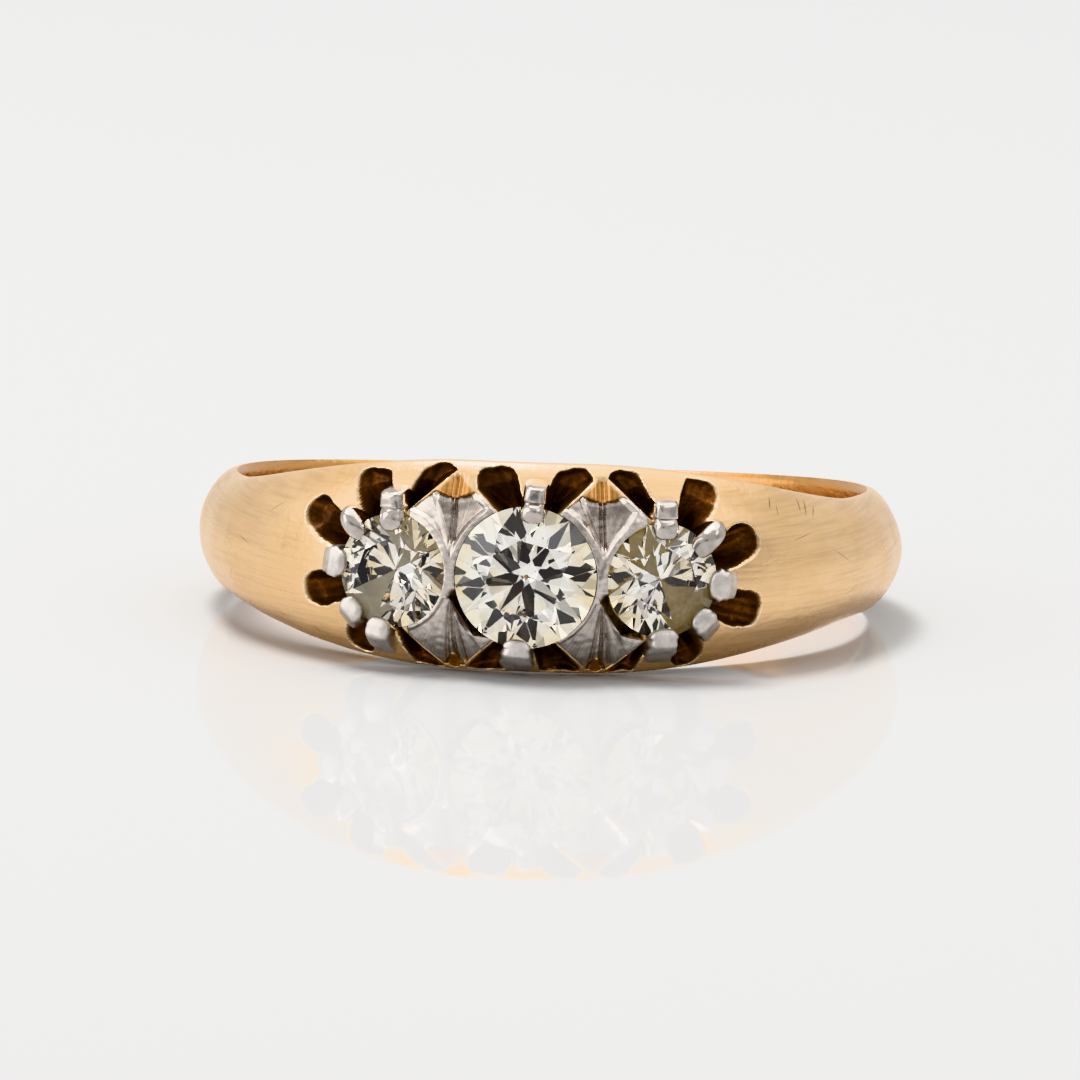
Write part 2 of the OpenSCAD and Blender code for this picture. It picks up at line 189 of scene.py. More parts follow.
# Gold left between a window's end and the upper edge. The windows that face the
# lower edge run past it instead
WINDOW_RIM, LOW_OVERRUN, LOW_SIDE = 0.07, 0.35, -0.7
# Least gold left at the upper and the lower edge, and how softly the upper limit acts
RIM_LEFT, LOW_RIM_LEFT, RIM_BLEND = 0.05, 0.035, 0.24
# Width and curve of a window's wall, and the depth of its floor under the girdle
# beside the stone and at its far end
WALL_W, WALL_CURVE, FLOOR_NEAR, FLOOR_FAR, FLOOR_CURVE = 0.31, 1.9, 1.15, 0.72, 1.4
# Least depth of a window, and the depth of a bridge's pocket
CUT_DEPTH = 0.42
# Dimple in the gold below each bridge: its place, its radius and its depth
HOLE_Y, HOLE_R, HOLE_DEPTH = -2.42, 0.22, 0.22
# Spacing of the flutes in the gold above each bridge
FLUTE_STEP = 0.13
# The carving lies within this angle on both sides
HEAD_REACH = 42


def rim_distance(i, a, reach, rim):
    round_finger = STONE_ANGLE[i] + math.degrees(reach * cosd(a) / GIRDLE_R[i])
    side = 1 if sind(a) > 0 else -1
    return (half_w(round_finger) - rim - side * ROW_SHIFT) / max(0.01, abs(sind(a)))


def window_sdf(i, row, x, y):
    """Distance to a window's outline, and how far along and across it a point lies."""
    near_angle, far_angle, reach_share, far_share, mouth_share, square = row
    near = STONES[i] / 2 * WINDOW_START
    edge_gap = WINDOW_RIM if sind(far_angle) > LOW_SIDE else -LOW_OVERRUN
    reach = WINDOW_REACH * reach_share
    end = min(reach, rim_distance(i, far_angle, reach, edge_gap))
    start = np.array([near * cosd(near_angle), near * sind(near_angle)])
    stop = np.array([end * cosd(far_angle), end * sind(far_angle)])
    way = stop - start
    length = float(np.linalg.norm(way))
    way = way / length
    dx, dy = x - start[0], y - start[1]
    u = dx * way[0] + dy * way[1]
    v = -dx * way[1] + dy * way[0]
    r1 = WINDOW_MOUTH_W * mouth_share / 2
    r2 = WINDOW_W * far_share / 2
    c = length - r2
    half = r1 + (r2 - r1) * ease(u / c)
    beyond = np.maximum(u - c, 0)
    n = 2 + 3 * square
    far = (np.abs(v) ** n + beyond ** n) ** (1 / n) - r2
    side = np.maximum(np.abs(v) - half, -u)
    return np.where(u > c, far, side), u, v, length


def polygon_sdf(points, x, y):
    """Signed distance to a closed polygon, negative inside."""
    pts = np.asarray(points, float)
    d = np.full(np.shape(x), 1e9)
    inside = np.zeros(np.shape(x), bool)
    for k in range(len(pts)):
        a, b = pts[k], pts[(k + 1) % len(pts)]
        e = b - a
        wx, wy = x - a[0], y - a[1]
        t = np.clip((wx * e[0] + wy * e[1]) / (e @ e), 0, 1)
        d = np.minimum(d, np.hypot(wx - e[0] * t, wy - e[1] * t))
        crossing = (b[0] - a[0]) * (y - a[1]) / (b[1] - a[1] + 1e-12) + a[0]
        inside ^= ((a[1] > y) != (b[1] > y)) & (x < crossing)
    return np.where(inside, -d, d)


def kite_side(v):
    return KITE_HALF_W * (KITE_TIP - v) / (KITE_TIP - KITE_CORNER)


def bridge_outline(grow):
    w = KITE_HALF_W + grow
    halves = []
    for end, dip in ((KITE_END, KITE_DIP), (LOW_END, LOW_DIP)):
        top = [[w, KITE_CORNER], [kite_side(end) + grow, end + grow], [0, end - dip + grow]]
        halves.append(top + [[-top[k][0], top[k][1]] for k in (1, 0)])
    upper, lower = halves
    return upper + [[lower[k][0], -lower[k][1]] for k in (4, 3, 2, 1, 0)]


def flatten(da):
    """Cosine by which a plane square to a stone's axis lies nearer the finger's middle."""
    return np.maximum(0.5, cosd(da))


def carved(a, z):
    """The carved face: its radius, dirt and painted shade, lips that later get a painted glint,
    tool lines, way to a window and warmth.
    """
    share = np.clip(z / half_w(a), -1, 1)
    face = outer_r(a, share)
    r = face.copy()
    dirt_and_shade, lip_glint, warm = (np.zeros_like(r) for _ in range(3))
    lines, outline = np.full_like(r, 0.5), np.full_like(r, 1.0)
    head = np.abs(a) < HEAD_REACH
    aa, zz, ff = a[head], z[head], face[head]
    y = zz - ROW_SHIFT
    # the same in the head alone: rr radius, dd dirt and painted shade, ll lip glint, ww warmth, ss
    # tool lines
    rr = ff.copy()
    dd, ll, ww = (np.zeros_like(ff) for _ in range(3))
    ss, near = np.full_like(ff, 0.5), np.full_like(ff, 1.0)
    for i in (LEFT, CENTRE, RIGHT):
        da = aa - STONE_ANGLE[i]
        x = ff * sind(da)
        rho = np.hypot(x, y)
        rs = STONES[i] / 2
        for n, row in enumerate(WINDOWS[i]):
            wob = 0.02 * rim_waves(x + 7 * i, y + 3 * n, n) + 0.005 * fine_waves(x + 5 * i, y, n)
            d, along, across, length = window_sdf(i, row, x, y)
            rim = np.abs(zz) - half_w(aa) + np.where(zz > 0, RIM_LEFT, LOW_RIM_LEFT)
            blend = np.maximum(RIM_BLEND - np.abs(d - rim), 0) * (zz > 0)
            d = np.maximum(d, rim) + blend * blend / (4 * RIM_BLEND) + wob
            d = np.where(rho < rs * WINDOW_START, 1.0, d)
            # the gold beside the bridges' kites is kept
            for b in (-1, 1):
                bx = ff * sind(aa - b * BRIDGE_ANGLE)
                by = np.abs(y)
                keep = kite_side(by) - 0.02 - np.abs(bx)
                keep = np.where((by > KITE_CORNER - 0.2) & (by < KITE_TIP), keep, -1)
                d = np.maximum(d, keep)
            t = 1 - (1 - np.clip(-d / WALL_W, 0, 1)) ** WALL_CURVE
            out = np.clip((rho - rs) / max(0.2, length * 0.5), 0, 1)
            tool = tool_waves(across * 2.2, along * 0.35, 3 * i + n)
            depth = FLOOR_NEAR + (FLOOR_FAR - FLOOR_NEAR) * out ** FLOOR_CURVE + 0.014 * tool
            floor = np.minimum((GIRDLE_R[i] - depth) / flatten(da), ff - CUT_DEPTH)
            target = ff + (floor - ff) * t
            target = np.where(d < 0, np.minimum(target, ff), ff)
            near = np.minimum(near, d)
            # the window is painted dark brown inside: partly old dirt, partly painted shade of the
            # deep hollow
            dd = np.where(target < rr, np.maximum(dd, ease((0.01 - d) / 0.065)), dd)
            ss = np.where(target < rr, 0.5 + 0.25 * tool, ss)
            rr = np.minimum(rr, target)
            # a thin band along the window's lip, which the gold's colour paints paler as a painted
            # highlight
            ll = np.maximum(ll, np.exp(-((d - 0.012) / 0.022) ** 2))
        # the stone's seat, a cone; its depth depends on the place, so it is iterated
        seat_r = rs + 0.02
        plane_x = GIRDLE_R[i] * sind(da) / flatten(da)
        t = ease((seat_r - np.hypot(plane_x, y)) / 0.03)
        deep_x = plane_x
        for _ in range(4):
            below = np.maximum(0, seat_r - np.hypot(deep_x, y)) * 2 * PAVILION
            cone = np.maximum(GIRDLE_R[i] - 0.1 - below, BORE_R + 0.06)
            deep_x = cone * sind(da) / flatten(da)
        target = ff + (cone / flatten(da) - ff) * t
        # the seat under the stone is painted a little darker
        dd = np.where((target < rr) & (rho < seat_r), 0.25, dd)
        rr = np.minimum(rr, target)
    for side in (-1, 1):
        # the pocket that holds a bridge
        x = ff * sind(aa - side * BRIDGE_ANGLE)
        d = polygon_sdf(bridge_outline(-0.05), x, y)
        target = ff - CUT_DEPTH * ease(-d / 0.03)
        # the pocket under the bridge is painted a little darker
        dd = np.where((target < rr) & (d < 0), np.maximum(dd, 0.12), dd)
        rr = np.minimum(rr, target)
        # the gold tips past the bridge's ends: fluted above, dimpled below
        flute = np.cos(2 * math.pi * x / FLUTE_STEP)
        tip = np.exp(-(x / 0.2) ** 2) * ease((y - 1.95) / 0.2) * ease((2.78 - y) / 0.25)
        rr = np.where(d > -0.02, rr - (0.12 + 0.05 * flute) * tip, rr)
        tri = (ease((kite_side(y) - 0.1 - np.abs(x)) / 0.1)
               * ease((y - 1.9) / 0.1) * ease((2.75 - y) / 0.2))
        # the tips are painted darker, most in the flutes' grooves: dirt and painted shade
        dd = np.maximum(dd, tri * (0.34 + 0.22 * flute) * (dd < 0.5))
        hole = ease((HOLE_R - np.hypot(x, (y - HOLE_Y) * 1.1)) / 0.10)
        rr = np.where(d > -0.02, rr - HOLE_DEPTH * hole, rr)
        # the dimple is painted dark brown: dirt and painted shade in its hollow
        dd = np.maximum(dd, 0.66 * hole)
        ww = np.maximum(ww, np.maximum(tri, hole))
    r[head], dirt_and_shade[head], lines[head] = rr, dd, ss
    lip_glint[head] = ll * ease(0.5 + 0.6 * fine_waves(2 * aa, 6 * zz))
    warm[head], outline[head] = ww, near
    # the whole surface is a little uneven
    r = r + 0.010 * body_waves(BORE_R * sind(a), BORE_R * cosd(a), z) * (dirt_and_shade < 0.05)
    return r, dirt_and_shade, lip_glint, lines, outline, warm


def arc_shares(count, a):
    """Shares of the half width that split the face at an angle into equal lengths."""
    t = np.sin(np.linspace(-math.pi / 2, math.pi / 2, 4001))
    z = t * float(half_w(np.array(a)))
    r = outer_r(np.full_like(t, a), t)
    s = np.concatenate([[0], np.cumsum(np.hypot(np.diff(z), np.diff(r)))])
    return np.interp(np.linspace(0, s[-1], count + 1), s, t)


# Strips of the band's face across the head, and rows in each edge and round the bore
FACE_STRIPS, EDGE_ROWS, BORE_ROWS = 164, 5, 12
# How much the bore's edges are rounded, and how much narrower the head is inside
BORE_SOFT, BORE_FALL = 0.05, 0.11


def section_rows(shares):
    """Closed list of row kinds for one section: face, upper edge, bore, lower edge."""
    rows = [("face", s) for s in shares]
    rows += [("top", u) for u in np.linspace(0, 1, EDGE_ROWS + 2)[1:-1]]
    rows += [("bore", u) for u in np.linspace(1, -1, BORE_ROWS + 1)]
    rows += [("bottom", u) for u in np.linspace(1, 0, EDGE_ROWS + 2)[1:-1]]
    return rows


def section_points(a, rows, snap):
    """Points and looks (dirt and painted shade, lip glint, lines, inner) of the sections at angles
    a.
    """
    pts = np.zeros((len(a), len(rows), 3))
    looks = np.zeros((len(a), len(rows), 4))
    looks[:, :, 2] = 0.5
    face_rows = [k for k, row in enumerate(rows) if row[0] == "face"]
    bore_rows = [k for k, row in enumerate(rows) if row[0] == "bore"]
    angle, share = np.meshgrid(a, np.array([rows[k][1] for k in face_rows]), indexing="ij")
    z_face = share * half_w(angle)
    face = carved(angle, z_face)
    if snap:
        # grid points beside a window's outline move onto it, which keeps it smooth
        way = face[4]
        gi, gj = np.gradient(way, axis=0), np.gradient(way, axis=1)
        g2 = gi * gi + gj * gj + 1e-9
        si, sj = -way * gi / g2, -way * gj / g2
        move = np.hypot(si, sj) < 0.5
        move[:2], move[-2:], move[:, :2], move[:, -2:] = False, False, False, False
        angle = angle + np.where(move, si, 0) * np.gradient(angle, axis=0)
        z_face = z_face + np.where(move, sj, 0) * np.gradient(z_face, axis=1)
        face = carved(angle, z_face)
    r_face, dirt_and_shade, lip_glint, lines, _, warm = face
    # the face's edges are rounded a little into the flat rims
    inset = 0.035 * np.clip((np.abs(share) - 0.985) / 0.015, 0, 1) ** 2
    r_face = r_face - inset * 0.5
    pts[:, face_rows] = ring_point(r_face, angle, z_face)
    looks[:, face_rows] = np.stack([dirt_and_shade, lip_glint, lines, warm], -1)
    # the bore gets the deeper orange tone in full, painted shade of the ring's inside
    looks[:, bore_rows, 3] = 1
    hw, fall = half_w(a), BORE_FALL * head_share(a, THICK_LEVEL, THICK_END)
    for k, (kind, u) in enumerate(rows):
        if kind == "face":
            continue
        if kind == "bore":
            round_in = BORE_SOFT * np.clip((abs(u) - 0.9) / 0.1, 0, 1) ** 2
            r = np.full_like(a, BORE_R + round_in)
            z = u * (hw - fall)
        else:
            r = (BORE_R + BORE_SOFT) * u + r_face[:, -1 if kind == "top" else 0] * (1 - u)
            z = (hw - fall * u * u) * (1 if kind == "top" else -1)
        pts[:, k] = ring_point(r, a, z)
    return pts, looks


def build_band():
    """The gold as one closed grid, which is finest across the head."""
    shares = arc_shares(FACE_STRIPS, 0.0)
    # each zone's angles, and every how many of the face's points it has
    zones = [(np.linspace(-40, 40, 385), 1), (np.linspace(40, 62, 42), 2),
             (np.linspace(62, 298, 190), 4), (np.linspace(298, 320, 42), 2)]
    points, looks, faces, columns = [], [], [], []
    start = 0
    for angles, step in zones:
        wrapped = np.where(angles > 180, angles - 360, angles)
        p, look = section_points(wrapped, section_rows(shares[::step]), step == 1)
        m, n = p.shape[:2]
        for b0 in range(start, start + (m - 1) * n, n):
            for j in range(n):
                j1 = (j + 1) % n
                faces.append((b0 + j, b0 + n + j, b0 + n + j1, b0 + j1))
        last = start + (m - 1) * n
        columns.append((list(range(start, start + n)), list(range(last, last + n))))
        points.append(p.reshape(-1, 3))
        looks.append(look.reshape(-1, 4))
        start += m * n

    # Where two zones meet, the points that both have become one. The finer side's
    # points between them go into the coarser side's faces
    merge, between = {}, {}
    for k in range(len(zones)):
        nxt = (k + 1) % len(zones)
        small, big = sorted((columns[k][1], columns[nxt][0]), key=len)
        strips = FACE_STRIPS // max(zones[k][1], zones[nxt][1])
        for j in range(strips + 1):
            merge[small[j]] = big[2 * j]
        for j in range(strips + 1, len(small)):
            merge[small[j]] = big[j + strips]
        for j in range(strips):
            first, second = big[2 * j], big[2 * j + 2]
            between[first, second] = between[second, first] = big[2 * j + 1]
    joined = []
    for f in faces:
        g = [merge.get(v, v) for v in f]
        if any(v in merge for v in f):
            ways = [between.get((v, g[(q + 1) % len(g)])) for q, v in enumerate(g)]
            g = [w for pair in zip(g, ways) for w in pair if w is not None]
        joined.append(g)
    used = sorted({v for f in joined for v in f})
    index = {v: n for n, v in enumerate(used)}
    joined = [tuple(index[v] for v in f) for f in joined]
    points, looks = np.concatenate(points)[used], np.concatenate(looks)[used]
    obj = make_object("band_gold", at_rest(points), joined)
    for k, kind in enumerate(("dirt_and_shade", "lip_glint", "lines", "inner")):
        set_attribute(obj, kind, looks[:, k])
    return obj


# Brilliant cut stones: corners round the girdle, the radius where the pavilion's
# lower facets end and the culet's, as shares of the stone's radius
GIRDLE_SIDES, LOWER, CULET = 64, 0.24, 0.03


def outward(obj, merge_dist=None):
    """Make the faces of a closed mesh point outwards."""
    bm = bmesh.new()
    bm.from_mesh(obj.data)
    if merge_dist:
        bmesh.ops.remove_doubles(bm, verts=bm.verts, dist=merge_dist)
    bmesh.ops.recalc_face_normals(bm, faces=bm.faces)
    bm.to_mesh(obj.data)
    bm.free()


def build_stone(i, name, turn, stained):
    """A brilliant, with the pavilion facets between two angles stained."""
    d = STONES[i]
    r = d / 2
    facet = 360 / 16
    table, crown, girdle, deep, culet = TABLE * r, CROWN * d, GIRDLE * d, PAVILION * d, CULET * r
    star = table * cosd(facet) + 0.5 * (r - table * cosd(facet))
    star_z = crown * (r - star * cosd(facet)) / (r - table)
    lower = r * LOWER
    lower_z = -girdle - (deep - girdle) * (r - lower * cosd(facet)) / (r - culet)
    per = GIRDLE_SIDES // 16

    def polar(rr, a, z):
        return [rr * cosd(a + turn), rr * sind(a + turn), z]

    def on_facet(k, base, tip_r, tip_z):
        """Height of a girdle point on the flat facet through two corners and a tip."""
        side = (k // per) % 2
        corner = (k // per + side) * facet
        other = corner + (facet if side == 0 else -facet)
        a = np.array([r * cosd(corner), r * sind(corner), base])
        b = np.array([r * cosd(other), r * sind(other), base])
        c = np.array([tip_r * cosd(other), tip_r * sind(other), tip_z])
        n = np.cross(b - a, c - a)
        q = np.array([r * cosd(k * 360 / GIRDLE_SIDES), r * sind(k * 360 / GIRDLE_SIDES)])
        return base - (n[0] * (q[0] - a[0]) + n[1] * (q[1] - a[1])) / n[2]

    points = [polar(table, 2 * k * facet, crown) for k in range(8)]
    points += [polar(star, (2 * k + 1) * facet, star_z) for k in range(8)]
    for base, tip_r, tip_z in ((0.0, star, star_z), (-girdle, lower, lower_z)):
        points += [polar(r, k * 360 / GIRDLE_SIDES, on_facet(k, base, tip_r, tip_z))
                   for k in range(GIRDLE_SIDES)]
    points += [polar(lower, (2 * k + 1) * facet, lower_z) for k in range(8)]
    points += [polar(culet, 2 * k * facet, -deep) for k in range(8)]
    # first point of the stars, of the girdle above and below, of the pavilion's
    # tips and of the culet
    s0, g0 = 8, 16
    g1 = g0 + GIRDLE_SIDES
    t0 = g1 + GIRDLE_SIDES
    p0 = t0 + 8

    def arc(first, k):
        return [first + (k * per + q) % GIRDLE_SIDES for q in range(per + 1)]

    faces = [list(range(8))]
    for k in range(8):
        before, after = (k + 7) % 8, (k + 1) % 8
        faces += [[k, s0 + k, after], [k, s0 + before, g0 + 2 * k * per, s0 + k]]
        faces += [[s0 + k] + arc(g0, 2 * k), [s0 + k] + arc(g0, 2 * k + 1)]
        faces += [[t0 + k] + arc(g1, 2 * k)[::-1], [t0 + k] + arc(g1, 2 * k + 1)[::-1]]
        faces += [[t0 + before, p0 + k, t0 + k, g1 + 2 * k * per], [p0 + k, p0 + after, t0 + k]]
    for k in range(GIRDLE_SIDES):
        k1 = (k + 1) % GIRDLE_SIDES
        faces.append([g0 + k, g1 + k, g1 + k1, g0 + k1])
    faces.append([p0 + 7 - k for k in range(8)])
    points = np.array(points)
    obj = make_object(name, at_rest(from_local(points, STONE_ANGLE[i], GIRDLE_R[i])),
                      [tuple(f) for f in faces], smooth=False)
    set_attribute(obj, "edge", np.clip(np.hypot(*points[:, :2].T) / r, 0, 1))
    outward(obj)
    for n, f in enumerate(faces):
        flat = points[f].mean(0)
        around = math.degrees(math.atan2(flat[1], flat[0])) % 360
        if stained and flat[2] < -girdle and stained[0] < around < stained[1]:
            obj.data.polygons[n].material_index = 1
    return obj


def face_w(i, a, x):
    """Height of the head's face over a stone's plane, x from its middle along a."""
    turn = np.degrees(np.arctan(x * cosd(a) / GIRDLE_R[i]))
    round_finger = STONE_ANGLE[i] + turn
    share = np.minimum(1, np.abs(ROW_SHIFT + x * sind(a)) / half_w(round_finger))
    return outer_r(round_finger, share) * np.cos(np.radians(turn)) - GIRDLE_R[i]


# Columns: angle of a claw at its stone, half width, length outside the stone, grip over
# the stone, height over the girdle, share of the length that the bead takes, and how
# worn the claw is
CLAWS = [
    [[90, 0.37, 0.80, 0.42, 0.46, 0.56, 0.0],
     [134, 0.32, 0.70, 0.32, 0.42, 1.0, 0.0],
     [175, 0.42, 0.62, 0.26, 0.34, 1.0, 0.5],
     [225, 0.38, 0.58, 0.28, 0.34, 1.0, 0.6],
     [259, 0.37, 0.80, 0.26, 0.34, 1.0, 0.9]],
    [[85, 0.35, 0.74, 0.42, 0.46, 0.56, 0.0],
     [265, 0.43, 0.70, 0.26, 0.34, 1.0, 1.2]],
    [[90, 0.37, 0.76, 0.42, 0.46, 0.56, 0.0],
     [42, 0.36, 0.78, 0.40, 0.44, 1.0, 0.0],
     [-4, 0.42, 0.66, 0.28, 0.36, 1.0, 0.4],
     [-43, 0.38, 0.68, 0.28, 0.34, 1.0, 0.5],
     [-88, 0.44, 0.76, 0.26, 0.34, 1.0, 1.1]],
]
# Gold left beyond a claw at the upper edge and at the lower one
CLAW_RIM, LOW_CLAW_RIM = 0.03, -0.01
# How deep a claw is rooted, steps along it and round it
CLAW_ROOT, CLAW_STEPS, CLAW_SIDES = 0.5, 44, 28


def rounded(share, power):
    """Width or height near a rounded end, for a share that grows from 0 to 1."""
    return max(0.0, 1 - max(0.0, share) ** power)


def worn_section(u, surf, rest_z, hw, height, worn):
    """Top and half width of a finger that leaves the gold nearly level, worn flat."""
    step = max(0.0, 1 - u / 0.07) ** 2
    level = surf + 0.05 + (height - surf - 0.05) * float(ease(u / 0.55))
    top = rest_z + (level - rest_z) * rounded((u - 0.72) / 0.28, 2.6) ** 0.5
    top = top * (1 - step) + (surf - 0.03) * step
    taper = 0.72 + 0.25 * min(1.0, worn)
    side_end = rounded((u - 0.60) / 0.40, 2.2 + worn) ** 0.5
    side_start = rounded((0.14 - u) / 0.14, 2.2) ** 0.5
    return top, hw * (taper + (1 - taper) * float(ease(u / 0.6))) * side_end * side_start


def bead_section(u, surf, rest_z, hw, height, bead):
    """Top and half width of a polished bead, with a block behind it, and its squareness."""
    low, start = surf - 0.03, 1 - bead
    s = min(1.0, abs(u - (start + bead * 0.52)) / (bead * 0.52))
    ball = rest_z + (height - rest_z) * max(0.0, 1 - s ** 2.0) ** 0.5
    ball_w = hw * max(0.0, 1 - s ** 2.4) ** (1 / 2.4)
    if bead == 1:
        return ball, ball_w, 0.0
    # the outer block rises out of the gold, and the bead rounds over the stone
    block = low + (0.80 * height - low) * float(ease(u / 0.22)) ** 0.8
    fade = float(ease((start + 0.40 * bead - u) / (0.28 * bead)))
    block_w = 0.96 * hw * rounded((0.16 - u) / 0.16, 2.4) ** (1 / 2.4)
    return max(ball, block * fade + rest_z * (1 - fade)), max(ball_w, block_w * fade), 1.5 * fade


def build_claw(name, i, row, seed):
    angle, hw, length, grip, height, bead, worn = row
    r = STONES[i] / 2
    rim = CLAW_RIM if angle % 360 < 180 else LOW_CLAW_RIM
    end = min(r + length, rim_distance(i, angle, r + length, rim))
    tip = r - grip
    waves = Waves(100 + seed, 8, 0.8, 2.2)
    pts = []
    for u in 0.5 - 0.5 * np.cos(np.linspace(0, math.pi, CLAW_STEPS + 1)):
        x = end + (tip - end) * u
        surf = float(face_w(i, angle, max(x, r * 0.9)))
        crown_z = max(0.0, r - x) * 2 * CROWN / (1 - TABLE)
        rest_z = surf - 0.03 if u < 1 - bead + bead * 0.52 else crown_z + 0.01
        if worn:
            top, w = worn_section(u, surf, rest_z, hw, height, worn)
            w *= 1 + 0.06 * float(waves(x * 2.5, 0.3, seed))
            square = 1.6
        else:
            top, w, square = bead_section(u, surf, rest_z, hw, height, bead)
        w = max(w, 0.01)
        outside = x > r + 0.02
        bottom = min(surf, 0.0) - CLAW_ROOT if outside else max(-0.02, crown_z + 0.006)
        base = min(min(surf, top) - 0.05 if outside else bottom, top - 0.01)
        ring = [[x, w, bottom]]
        power = 2.3 + square
        for t in np.linspace(0, math.pi, CLAW_SIDES + 1):
            cx, cz = math.cos(t), math.sin(t)
            y = w * math.copysign(abs(cx) ** (2 / power), cx)
            n = (0.006 if worn else 0.012) * float(waves(x * 1.5, y * 1.5 + angle, 0.0))
            rise = abs(cz) ** (2 / power)
            ring.append([x, y, base + (top - base) * rise + n * rise])
        ring.append([x, -w, bottom])
        pts.append(ring)
    pts = np.array(pts)
    c, s = cosd(angle), sind(angle)
    x, y, z = np.moveaxis(pts, -1, 0)
    turned = np.stack([x * c - y * s, x * s + y * c, z], -1)
    points = from_local(turned, STONE_ANGLE[i], GIRDLE_R[i])
    n = pts.shape[1]
    faces = []
    for a in range(CLAW_STEPS):
        for b in range(n):
            b1 = (b + 1) % n
            faces.append((a * n + b, a * n + b1, (a + 1) * n + b1, (a + 1) * n + b))
    faces.append(tuple(range(n - 1, -1, -1)))
    faces.append(tuple(CLAW_STEPS * n + k for k in range(n)))
    obj = make_object(name + "_metal", at_rest(points.reshape(-1, 3)), faces, sharp=50)
    outward(obj, 0.0005 * MM)
    return obj


# A bridge's surface over the gold's, and how deep its underside lies in the gold
BRIDGE_RISE, BRIDGE_ROOT = 0.055, 0.5
# The point where each kite's engraved fan starts, and the upper fan's left edge,
# middle line and right edge
UPPER_APEX, LOWER_APEX, APEX_X = 0.44, 0.66, 0.02
LEFT_RAY, MIDDLE_RAY, RIGHT_RAY = -22.0, -1.0, 35.0
# The lower fan's ridge, and the turn, width and depth of each of its flutes
RIDGE_RAY = 33
FLUTES = ((-7, 0.035, 0.10), (3, 0.03, 0.13), (12, 0.035, 0.09))
# Deepest cut, and the drop from a fan's edge to its middle line for each millimetre
FAN_DEPTH, FAN_FALL = 0.42, 0.17


def bell(d, width):
    return np.exp(-(d / width) ** 2)


